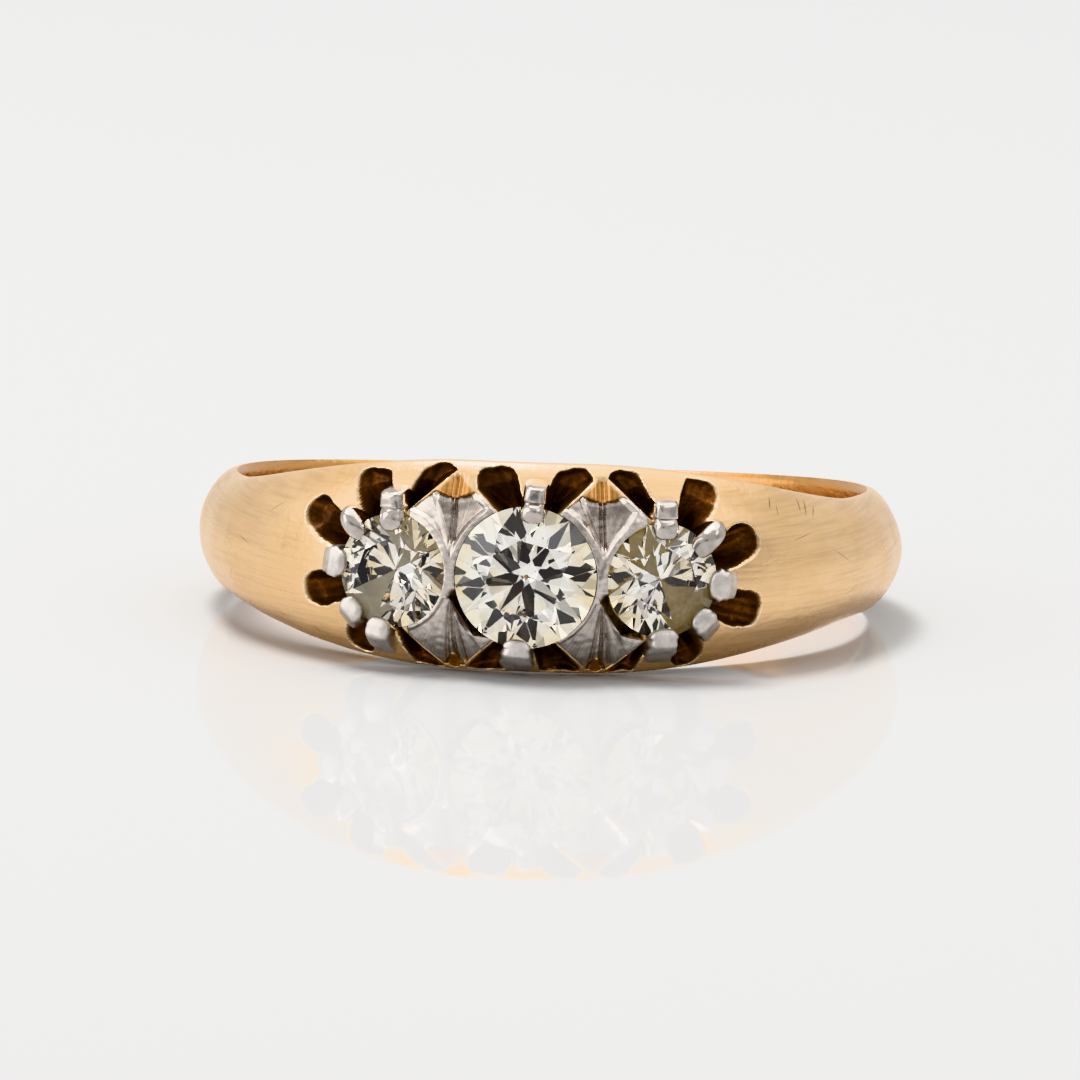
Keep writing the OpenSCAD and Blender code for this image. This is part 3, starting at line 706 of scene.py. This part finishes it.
def build_bridge(side):
    """A bridge as two engraved kites that meet at a waist between the stones."""
    middle = side * BRIDGE_ANGLE
    stones = (CENTRE, LEFT if side < 0 else RIGHT)
    circles = sorted((float(GIRDLE_R[i] * sind(STONE_ANGLE[i] - middle)), STONES[i] / 2 - 0.012)
                     for i in stones)
    t = np.linspace(0, 1, 101)[None, :]
    q = np.linspace(-1, 1, 241)[:, None]
    far_end, dip = np.where(q > 0, KITE_END, LOW_END), np.where(q > 0, KITE_DIP, LOW_DIP)
    v = np.abs(q) * (far_end - dip * (1 - np.abs(2 * t - 1)))
    lim = np.minimum(kite_side(v), KITE_HALF_W)
    (lx, lr), (rx, rr) = circles
    to_left = np.where(v < lr, lx + np.sqrt(np.maximum(0, lr * lr - v * v)), -9)
    to_right = np.where(v < rr, rx - np.sqrt(np.maximum(0, rr * rr - v * v)), 9)
    xl, xr = np.maximum(to_left, -lim), np.minimum(to_right, lim)
    x = xl + t * (xr - xl)
    upper = np.broadcast_to(q > 0, x.shape)
    z_ring = v * np.sign(q) + ROW_SHIFT
    ang = middle + np.degrees(np.arctan(x / FACE_R))
    face = outer_r(ang, np.minimum(1.0, np.abs(z_ring) / half_w(ang)))

    # distances to the stones, to the kites' slanting sides and to their corners
    d_l = np.hypot(x - lx, v) - lr
    d_r = np.hypot(x - rx, v) - rr
    tilt = math.degrees(math.atan(KITE_HALF_W / (KITE_TIP - KITE_CORNER)))
    d_o = (kite_side(v) - np.abs(x)) * cosd(tilt)
    d_c = KITE_HALF_W - np.abs(x)

    # upper kite: a fan of two planes that fall to a fluted middle line
    ax, av = x - APEX_X, v - np.where(upper, UPPER_APEX, LOWER_APEX)
    rho = np.hypot(ax, av)
    turn = np.degrees(np.arctan2(ax, np.maximum(av, -0.5)))
    in_l = rho * sind(turn - LEFT_RAY)
    in_r = rho * sind(RIGHT_RAY - turn)
    inside = np.minimum.reduce([in_l, in_r, d_o - 0.07, d_r - 0.14, d_l - 0.18])
    inside = np.where((av > -0.02) & (np.abs(turn) < 80), inside, -1)
    wall = np.clip(inside / 0.14, 0, 1)
    off_mid = rho * sind(turn - MIDDLE_RAY)
    slope = np.where(off_mid < 0, FAN_FALL / sind(MIDDLE_RAY - LEFT_RAY),
                     FAN_FALL / sind(RIGHT_RAY - MIDDLE_RAY))
    reach = np.where(off_mid < 0, in_l, in_r)
    plane = 0.10 * ease(rho / 0.5) + slope * np.maximum(0, reach)
    rib = 0.07 * bell(off_mid, 0.028) - 0.03 * bell(np.abs(off_mid) - 0.07, 0.022)
    # the planes rise again to meet the gold tips
    rise = 1 - 0.7 * ease((np.abs(q) - 0.74) / 0.26)
    fan_up = np.minimum(plane, FAN_DEPTH) * wall * rise - rib * wall * ease((rho - 0.15) / 0.3)
    bevel_up = (wall > 0.02) & (wall < 0.98)
    # the rims lean: wide bevel beside the left stone, flat strip beside the right one
    lean_up = 0.10 * ease((d_l - 0.16) / 0.16) * (inside <= 0) * (x < 0) * ease((v - 0.5) / 0.5)

    # lower kite: a broad flat plane, flutes in the middle, a ridge, and a polished
    # wall that falls to the right stone's seat
    flute = np.zeros_like(x)
    for f_turn, f_width, f_depth in FLUTES:
        flute = np.maximum(flute, f_depth * bell(rho * sind(turn - f_turn), f_width + 0.02 * rho))
    flute = flute * ease(rho / 0.3) * (av > 0)
    ridge_line = rho * sind(turn - RIDGE_RAY)
    ridge = 0.05 * bell(ridge_line, 0.035) * ease(rho / 0.25) * (av > 0) * ease((1.75 - v) / 0.2)
    dished = 0.06 * ease(-ridge_line / 0.12) * ease((d_l - 0.07) / 0.08) * (av > 0)
    seat_wall = np.clip(1 - (d_r - 0.01) / 0.30, 0, 1)
    seat_wall = seat_wall * ease((v - 0.32) / 0.35) * ease((1.72 - v) / 0.22)
    fan_low = flute - ridge + dished + 0.36 * seat_wall
    depth = np.where(upper, fan_up + lean_up, fan_low)
    plain_low = ease(rho / 0.3) * (ridge_line < -0.04) * (av > 0) * (d_l > 0.06)
    engraved = np.where(upper, wall * (1 - bevel_up), plain_low)
    # painted shade: the upper kite's fan is painted darker, and the lower kite's wall that faces
    # the right stone is painted dark
    dark = np.where(upper, 0.42 * engraved, ease(seat_wall / 0.3))

    # worn edges fall off a little
    soft = 0.03 * np.exp(-np.minimum(np.maximum(d_o, 0), np.maximum(d_c, 0)) / 0.03)
    soft = soft + 0.02 * np.exp(-np.maximum(np.minimum(d_l, d_r), 0) / 0.02)
    waves = Waves(40 + side, 12, 0.8, 3.0)
    end_fall = np.where(upper, 0.09, 0.06) * ease((np.abs(q) - 0.9) / 0.1)
    r = face + BRIDGE_RISE - depth - soft - end_fall + 0.004 * waves(x * 2, z_ring * 2, 0)
    top = ring_point(r, ang, z_ring)
    n, m = x.shape
    points = list(top.reshape(-1, 3))
    faces = []
    for a in range(n - 1):
        for c in range(a * m, a * m + m - 1):
            faces.append((c, c + 1, c + m + 1, c + m))
    # skirt: the outline drops into the gold, and the underside closes it in strips
    border = list(range(m)) + [a * m + m - 1 for a in range(1, n)]
    border += [(n - 1) * m + b for b in range(m - 2, -1, -1)]
    border += [a * m for a in range(n - 2, 0, -1)]
    low = {b: len(points) + k for k, b in enumerate(border)}
    for b in border:
        p = points[b]
        share = 1 - BRIDGE_ROOT / math.hypot(p[0], p[1])
        points.append(np.array([p[0] * share, p[1] * share, p[2]]))
    for k, b in enumerate(border):
        b1 = border[(k + 1) % len(border)]
        faces.append((b1, b, low[b], low[b1]))
    head_row = [low[b] for b in range(m)] + [low[2 * m - 1], low[m]]
    faces.append(tuple(reversed(head_row)))
    for a in range(1, n - 2):
        b = (a + 1) * m
        faces.append((low[a * m], low[b], low[b + m - 1], low[b - 1]))
    foot_row = [low[(n - 1) * m + b] for b in range(m)]
    faces.append(tuple(foot_row + [low[(n - 2) * m + m - 1], low[(n - 2) * m]]))
    name = "left_bridge_metal" if side < 0 else "right_bridge_metal"
    obj = make_object(name, at_rest(np.array(points)), faces, sharp=32)

    below = np.zeros(len(border))
    set_attribute(obj, "inner", np.concatenate([engraved.reshape(-1), below]))
    # the underside, hidden in the gold, is painted darker too, as painted shade
    set_attribute(obj, "dirt_and_shade", np.concatenate([dark.reshape(-1), below + 0.6]))
    # the engraved lines fan out, so they are drawn over the turn and the way outwards
    uv = obj.data.uv_layers.new(name="engraving")
    hu = np.concatenate([np.radians(turn).reshape(-1), below])
    hv = np.concatenate([rho.reshape(-1), below])
    loops = np.zeros(len(obj.data.loops), dtype=np.int32)
    obj.data.loops.foreach_get("vertex_index", loops)
    uv.data.foreach_set("uv", np.stack([hu[loops], hv[loops]], -1).astype(np.float32).reshape(-1))
    return obj


# Materials. Numbers that never change are set on the shader's own sockets.
def new_material(name):
    m = bpy.data.materials.new(name)
    m.use_nodes = True
    nt = m.node_tree
    bsdf = next(n for n in nt.nodes if n.type == "BSDF_PRINCIPLED")
    return m, nt, bsdf


def node(nt, kind, **props):
    """New node; a property that has the name of an input sets that input."""
    n = nt.nodes.new(kind)
    for k, v in props.items():
        if k in n.inputs.keys():
            n.inputs[k].default_value = v
        else:
            setattr(n, k, v)
    return n


def link(nt, a, b):
    nt.links.new(a, b)


def feed(nt, sock, v):
    """Set or link an input, for a number, a colour or another node's output."""
    if isinstance(v, (int, float)):
        sock.default_value = v
    elif isinstance(v, tuple):
        sock.default_value = (*v, 1)
    else:
        link(nt, v, sock)


def grey(v):
    return (v, v, v)


def ramp(nt, source, stops):
    r = node(nt, "ShaderNodeValToRGB")
    els = r.color_ramp.elements
    while len(els) < len(stops):
        els.new(0.5)
    for e, (pos, col) in zip(els, stops):
        e.position = pos
        e.color = (*col, 1)
    link(nt, source, r.inputs["Fac"])
    return r.outputs["Color"]


def math_node(nt, op, a, b, **props):
    n = node(nt, "ShaderNodeMath", operation=op, **props)
    feed(nt, n.inputs[0], a)
    feed(nt, n.inputs[1], b)
    return n.outputs[0]


def multiply(nt, a, b):
    return math_node(nt, "MULTIPLY", a, b)


def mix_color(nt, fac, a, b, blend="MIX"):
    n = node(nt, "ShaderNodeMix", data_type="RGBA", blend_type=blend)
    for k, v in ((0, fac), (6, a), (7, b)):
        feed(nt, n.inputs[k], v)
    return n.outputs[2]


def mapped(nt, vector, scale, **props):
    n = node(nt, "ShaderNodeMapping", Scale=scale, **props)
    link(nt, vector, n.inputs["Vector"])
    return n.outputs[0]


def millimetres(nt, start=(0, 0, 0)):
    """The object's own coordinates in millimetres."""
    coord = node(nt, "ShaderNodeTexCoord")
    return mapped(nt, coord.outputs["Object"], (1000, 1000, 1000), Location=start)


def noise(nt, vector, scale, detail, roughness):
    n = node(nt, "ShaderNodeTexNoise", Scale=scale, Detail=detail, Roughness=roughness)
    link(nt, vector, n.inputs["Vector"])
    return n.outputs["Fac"]


def attribute(nt, name):
    return node(nt, "ShaderNodeAttribute", attribute_name=name).outputs["Fac"]


def relief(nt, bsdf, height, strength, distance):
    bump = node(nt, "ShaderNodeBump", Strength=strength, Distance=distance)
    link(nt, height, bump.inputs["Height"])
    link(nt, bump.outputs["Normal"], bsdf.inputs["Normal"])


# Columns: angle and share of the half width of a scratch's middle, its turn from the
# way round the finger, its half length and its half width
SCRATCHES = [
    [48.6, 0.80, 62, 0.34, 0.035], [47.2, 0.83, 74, 0.26, 0.03], [50.4, 0.76, 48, 0.24, 0.025],
    [40.2, 0.80, 66, 0.22, 0.03], [41.4, 0.72, 80, 0.16, 0.02], [28.5, 0.88, 82, 0.2, 0.02],
    [46.0, 0.42, 12, 0.5, 0.012], [56.0, 0.15, -24, 0.6, 0.012], [60.0, -0.4, 20, 0.4, 0.012],
    [-44.0, 0.56, 28, 0.45, 0.012], [-52.0, 0.1, -18, 0.5, 0.014], [-58.0, -0.45, 35, 0.35, 0.012],
    [82.0, 0.2, 14, 0.7, 0.014], [104.0, -0.3, -22, 0.5, 0.014], [150.0, -0.4, 30, 0.5, 0.014],
    [178.0, 0.25, 8, 0.8, 0.014], [-150.0, 0.3, -12, 0.6, 0.014], [-96.0, -0.1, 40, 0.4, 0.014]]
# How far a scratch reaches into the metal
SCRATCH_REACH = 0.3


def scratch_mask(nt, coords):
    """1 along the middle of each scratch, falling to 0 at its sides and ends."""
    total = 0.0
    for a, share, turn, length, width in SCRATCHES:
        a, share = np.array(a), np.array(share)
        spot = ring_point(outer_r(a, share), a, share * half_w(a))
        around, along = np.array([cosd(a), sind(a), 0]), np.array([0.0, 0.0, 1.0])
        way = around * cosd(turn) + along * sind(turn)
        aside = along * cosd(turn) - around * sind(turn)
        middle = at_rest(spot)
        x_axis, y_axis = at_rest(spot + way) - middle, at_rest(spot + aside) - middle
        axes = Matrix((x_axis, y_axis, np.cross(x_axis, y_axis))).transposed()
        own = mapped(nt, coords, (length, width, SCRATCH_REACH), vector_type="TEXTURE",
                     Location=tuple(middle), Rotation=axes.to_euler())
        far = node(nt, "ShaderNodeVectorMath", operation="LENGTH")
        link(nt, own, far.inputs[0])
        inside = math_node(nt, "SUBTRACT", 1.0, far.outputs["Value"], use_clamp=True)
        total = math_node(nt, "MAXIMUM", inside, total)
    return math_node(nt, "POWER", total, 0.6)


def gold_material():
    m, nt, bsdf = new_material("gold")
    coords = millimetres(nt)
    dirt_and_shade, lines, inner, lip_glint = (attribute(nt, name) for name in ("dirt_and_shade", "lines", "inner", "lip_glint"))

    # the metal: clouds of two tones, a deeper orange on the bore (painted shade of the ring's
    # inside) and on the tips and dimples, and paler on the windows' lips, a painted highlight
    cloud = noise(nt, coords, 0.35, 4.0, 0.6)
    tone = ramp(nt, cloud, [(0.3, (0.81, 0.53, 0.27)), (0.7, (0.92, 0.64, 0.37))])
    warm = mix_color(nt, inner, tone, (0.66, 0.35, 0.13))
    pale = mix_color(nt, lip_glint, warm, (1.0, 0.86, 0.64))
    # wear runs round the finger in faint streaks
    streak = noise(nt, mapped(nt, coords, (0.35, 0.35, 9.0)), 1.2, 4.0, 0.6)
    faint = ramp(nt, streak, [(0.34, grey(0.86)), (0.56, grey(1.0))])
    worn = mix_color(nt, 1.0, pale, faint, "MULTIPLY")
    marks = multiply(nt, scratch_mask(nt, coords), 0.85)
    marked = mix_color(nt, marks, worn, (0.16, 0.07, 0.02))

    # the dark brown of the hollows, partly dirt and partly painted shade, with the lines that the
    # cutter left in it
    grit = noise(nt, coords, 9.0, 5.0, 0.7)
    shade_and_dirt_tone = ramp(nt, grit, [(0.3, (0.05, 0.016, 0.004)), (0.6, (0.10, 0.036, 0.009)),
                                (0.8, (0.26, 0.11, 0.03))])
    line_tone = ramp(nt, lines, [(0.25, grey(0.55)), (0.6, grey(1.0)), (0.9, grey(1.7))])
    lined = mix_color(nt, 1.0, shade_and_dirt_tone, line_tone, "MULTIPLY")
    link(nt, mix_color(nt, dirt_and_shade, marked, lined), bsdf.inputs["Base Color"])
    metal = math_node(nt, "SUBTRACT", 1.0, multiply(nt, dirt_and_shade, 0.25))
    link(nt, metal, bsdf.inputs["Metallic"])

    rough = ramp(nt, noise(nt, coords, 1.3, 6.0, 0.65), [(0.3, grey(0.24)), (0.7, grey(0.36))])
    rough = mix_color(nt, dirt_and_shade, rough, grey(0.36))
    link(nt, mix_color(nt, lip_glint, rough, grey(0.14)), bsdf.inputs["Roughness"])

    # fine scratches of wear in several directions
    height = 0.0
    for turn, scale, amount in ((20, 3.0, 0.5), (-35, 3.4, 0.4), (75, 2.7, 0.35)):
        turned = mapped(nt, coords, (0.3, 1.4, 2.4),
                        Rotation=(0, math.radians(turn), math.radians(turn * 0.5)))
        part = multiply(nt, noise(nt, turned, scale, 1.5, 0.5), amount)
        height = math_node(nt, "ADD", height, part)
    # satin strokes run across the band
    grain = noise(nt, mapped(nt, coords, (2.6, 2.6, 0.6)), 2.2, 2.0, 0.6)
    height = math_node(nt, "ADD", height, multiply(nt, grain, 0.55))
    crust = multiply(nt, multiply(nt, dirt_and_shade, grit), 0.6)
    relief(nt, bsdf, math_node(nt, "ADD", height, crust), 0.4, 0.00004)
    return m


def platinum_material(name, base, rough_low, rough_high, strength, hatch):
    """White metal; hatch adds the bridges' engraved lines and the painted shade on their fans,
    seat walls and undersides.
    """
    m, nt, bsdf = new_material(name)
    bsdf.inputs["Metallic"].default_value = 1.0
    coords = millimetres(nt)
    dark = tuple(0.62 * c for c in base)
    color = ramp(nt, noise(nt, coords, 2.6, 6.0, 0.7), [(0.32, dark), (0.68, base)])
    rough = noise(nt, coords, 2.4, 4.0, 0.6)
    rough = ramp(nt, rough, [(0.3, grey(rough_low)), (0.7, grey(rough_high))])
    link(nt, rough, bsdf.inputs["Roughness"])
    height = multiply(nt, noise(nt, coords, 14.0, 5.0, 0.7), 0.4)
    if hatch:
        uv = node(nt, "ShaderNodeUVMap", uv_map="engraving")
        lines = noise(nt, mapped(nt, uv.outputs[0], (46.0, 0.4, 1.0)), 1.0, 4.0, 0.75)
        inner = attribute(nt, "inner")
        cut = multiply(nt, multiply(nt, lines, inner), 1.3)
        height = math_node(nt, "ADD", height, cut)
        shade = ramp(nt, lines, [(0.35, grey(0.5)), (0.6, grey(1.0))])
        lined = mix_color(nt, inner, grey(1.0), shade)
        hatched = mix_color(nt, 0.8, color, lined, "MULTIPLY")
        # the painted shade on the fans, the seat walls and the undersides
        color = mix_color(nt, attribute(nt, "dirt_and_shade"), hatched, (0.10, 0.07, 0.05))
    link(nt, color, bsdf.inputs["Base Color"])
    relief(nt, bsdf, height, strength, 0.00003)
    return m


def diamond_material(name, seed):
    """Clear in the middle, with a warm cloud towards the girdle, a painted reflection of the gold
    setting.
    """
    m, nt, bsdf = new_material(name)
    bsdf.inputs["IOR"].default_value = 2.42
    bsdf.inputs["Transmission Weight"].default_value = 1.0
    bsdf.inputs["Specular Tint"].default_value = (0.35, 0.35, 0.36, 1)
    bsdf.inputs["Roughness"].default_value = 0.0
    cloud = noise(nt, millimetres(nt, (seed * 3.1, seed * 1.7, 0)), 0.9, 3.0, 0.5)
    tone = ramp(nt, cloud, [(0.42, (0.96, 0.88, 0.66)), (0.56, (0.76, 0.55, 0.25))])
    # the warm tint grows towards the girdle: a painted reflection of the gold round the stone
    outer = ramp(nt, attribute(nt, "edge"), [(0.50, grey(0.0)), (0.90, grey(1.0))])
    link(nt, mix_color(nt, outer, grey(1.0), tone), bsdf.inputs["Base Color"])
    return m


def stain_material(name, dark, light):
    """Old dirt behind a side stone, seen through it as a patch."""
    m, nt, bsdf = new_material(name)
    bsdf.inputs["Specular IOR Level"].default_value = 0.0
    bsdf.inputs["IOR"].default_value = 1.45
    bsdf.inputs["Roughness"].default_value = 0.6
    cloud = noise(nt, millimetres(nt), 2.6, 5.0, 0.65)
    link(nt, ramp(nt, cloud, [(0.35, dark), (0.65, light)]), bsdf.inputs["Base Color"])
    return m


gold = gold_material()
left_stain = stain_material("left_diamond_stained", (1.0, 0.90, 0.66), (1.0, 0.98, 0.88))
right_stain = stain_material("right_diamond_stained", (0.80, 0.54, 0.16), (1.0, 0.88, 0.54))
engraved = platinum_material("platinum_engraved", (0.71, 0.645, 0.59), 0.18, 0.32, 0.38, True)
claw_metal = platinum_material("platinum_claw", (0.62, 0.57, 0.53), 0.08, 0.2, 0.25, False)
worn_metal = platinum_material("platinum_worn", (0.79, 0.735, 0.69), 0.30, 0.46, 1.0, False)


# The pieces
def finish_piece(obj, material, slot, *nodes):
    obj.data.materials.append(material)
    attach(obj, "root")
    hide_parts(*nodes)


# Each stone's turn about its axis, and the angles between which its back is stained
STONE_TURNS = (4, 9, -6)
STAINS = ((196, 256), None, (296, 352))

finish_piece(build_band(), gold, "gold", "band")
for side, node_name in ((-1, "left_bridge"), (1, "right_bridge")):
    finish_piece(build_bridge(side), engraved, "platinum", node_name)
seed = 0
for i, prefix in ((LEFT, "left"), (CENTRE, "centre"), (RIGHT, "right")):
    for k, row in enumerate(CLAWS[i]):
        seed += 1
        name = "%s_claw_%d" % (prefix, k + 1)
        metal = worn_metal if row[-1] else claw_metal
        finish_piece(build_claw(name, i, row, seed), metal, "platinum", name)
    stone = build_stone(i, prefix + "_diamond", STONE_TURNS[i], STAINS[i])
    clear = diamond_material(prefix + "_diamond", i + 1)
    finish_piece(stone, clear, "diamond", prefix + "_stone")
    stone.data.materials.append(right_stain if i == RIGHT else left_stain)

# Floor
bpy.ops.mesh.primitive_plane_add(size=1.6, location=(0, 0, 0))
floor = bpy.context.object
floor.name = "floor"
floor_material, _, floor_bsdf = new_material("floor")
floor_bsdf.inputs["Base Color"].default_value = (0.414, 0.415, 0.421, 1)
floor_bsdf.inputs["Roughness"].default_value = 0.03
floor_bsdf.inputs["IOR"].default_value = 1.10
floor.data.materials.append(floor_material)
bpy.context.scene.view_settings.view_transform = "Khronos PBR Neutral"

# World: a white studio tent with a dark opening at the front, and a plain pale
# background where it is seen directly
world = bpy.data.worlds.new("world")
bpy.context.scene.world = world
world.use_nodes = True
wnt = world.node_tree
tent_light = wnt.nodes["Background"]
around = node(wnt, "ShaderNodeTexCoord").outputs["Generated"]


def toward(direction, start, end):
    """1 within start degrees of a direction, falling to 0 at end degrees."""
    dot = node(wnt, "ShaderNodeVectorMath", operation="DOT_PRODUCT")
    link(wnt, around, dot.inputs[0])
    dot.inputs[1].default_value = Vector(direction).normalized()
    near = node(wnt, "ShaderNodeMapRange", interpolation_type="SMOOTHSTEP")
    link(wnt, dot.outputs["Value"], near.inputs["Value"])
    near.inputs["From Min"].default_value = math.cos(math.radians(end))
    near.inputs["From Max"].default_value = math.cos(math.radians(start))
    return near.outputs["Result"]


# The tent's cloth, then its opening, softboxes and panels. Columns: direction, angles
# from it where the panel ends and where the cloth begins, and its brightness
CLOTH = (0.86, 0.86, 0.86)
PANELS = [
    [(0.06, -1, 0.2), 12, 18, (0.36, 0.36, 0.36)],
    [(0.1, 0.3, 1), 26, 36, (2.45, 2.45, 2.4)],
    [(-1, -0.45, 0.5), 21, 31, (3.1, 3.05, 3.0)],
    [(1.0, -0.45, 0.2), 14, 26, (0.58, 0.57, 0.56)],
    [(1.0, -0.5, 0.95), 12, 20, (2.2, 2.2, 2.2)],
]
# Dark gaps between the panels that only the stones see, in the same columns
GAP = (0.045, 0.042, 0.045)
GAPS = [
    [(0.75, -1, 0.55), 12, 16], [(-0.62, -1, 0.05), 11, 15], [(-0.35, -1, 1.05), 9, 13],
    [(1.4, -1, 0.1), 10, 14], [(-1.6, -1, 0.35), 9, 13], [(0.3, -1, -0.35), 8, 12],
    [(0.06, -1, 0.2), 12, 18],
]
tent = CLOTH
for direction, start, end, light in PANELS:
    tent = mix_color(wnt, toward(direction, start, end), tent, light)
stone_tent = tent
for direction, start, end in GAPS:
    stone_tent = mix_color(wnt, toward(direction, start, end), stone_tent, GAP)
path = node(wnt, "ShaderNodeLightPath")
tent = mix_color(wnt, path.outputs["Is Transmission Ray"], tent, stone_tent)
link(wnt, tent, tent_light.inputs["Color"])
tent_light.inputs["Strength"].default_value = 1.0
plain = node(wnt, "ShaderNodeBackground")
plain.inputs["Color"].default_value = (0.9, 0.9, 0.9, 1)
pick = node(wnt, "ShaderNodeMixShader")
link(wnt, path.outputs["Is Camera Ray"], pick.inputs["Fac"])
link(wnt, tent_light.outputs[0], pick.inputs[1])
link(wnt, plain.outputs[0], pick.inputs[2])
link(wnt, pick.outputs[0], wnt.nodes["World Output"].inputs["Surface"])

# A soft light above, which casts the shadow in front of the head
top_light = bpy.data.lights.new("top_soft", "AREA")
top_light.shape = "RECTANGLE"
top_light.size = top_light.size_y = 0.10
top_light.energy = 1.1
top_light.color = (1, 0.98, 0.95)
top_soft = bpy.data.objects.new("top_soft", top_light)
bpy.context.scene.collection.objects.link(top_soft)
top_soft.location = (-0.07, 0.05, 0.29)
aim = Vector((0, -0.008, 0.003)) - top_soft.location
top_soft.rotation_euler = aim.to_track_quat("-Z", "Y").to_euler()

# Camera, at the place that the photograph was taken from
AZ, EL, ROLL = 3.49, 9.95, -1.493
PX_PER_MM, DISTANCE, PHOTO_PX, SENSOR = 35.812, 402.2, 1080, 36
AIM = (0.0, 0.63, 2.2)
az, el, roll = (math.radians(v) for v in (AZ, EL, ROLL))
back = Vector((math.sin(az) * math.cos(el), -math.cos(az) * math.cos(el), math.sin(el)))
right = Vector((math.cos(az), math.sin(az), 0))
up = back.cross(right)
rolled_right = right * math.cos(roll) - up * math.sin(roll)
rolled_up = right * math.sin(roll) + up * math.cos(roll)
cam = bpy.data.cameras.new("camera")
camera = bpy.data.objects.new("camera", cam)
bpy.context.scene.collection.objects.link(camera)
matrix = Matrix((rolled_right, rolled_up, back)).transposed().to_4x4()
matrix.translation = (Vector(AIM) + back * DISTANCE) * MM
camera.matrix_world = matrix
cam.sensor_width = SENSOR
cam.lens = PX_PER_MM * DISTANCE / PHOTO_PX * SENSOR
cam.shift_x, cam.shift_y = -0.0094, -0.0053
cam.clip_start, cam.clip_end = 0.01, 10
cam.dof.use_dof = False
bpy.context.scene.camera = camera
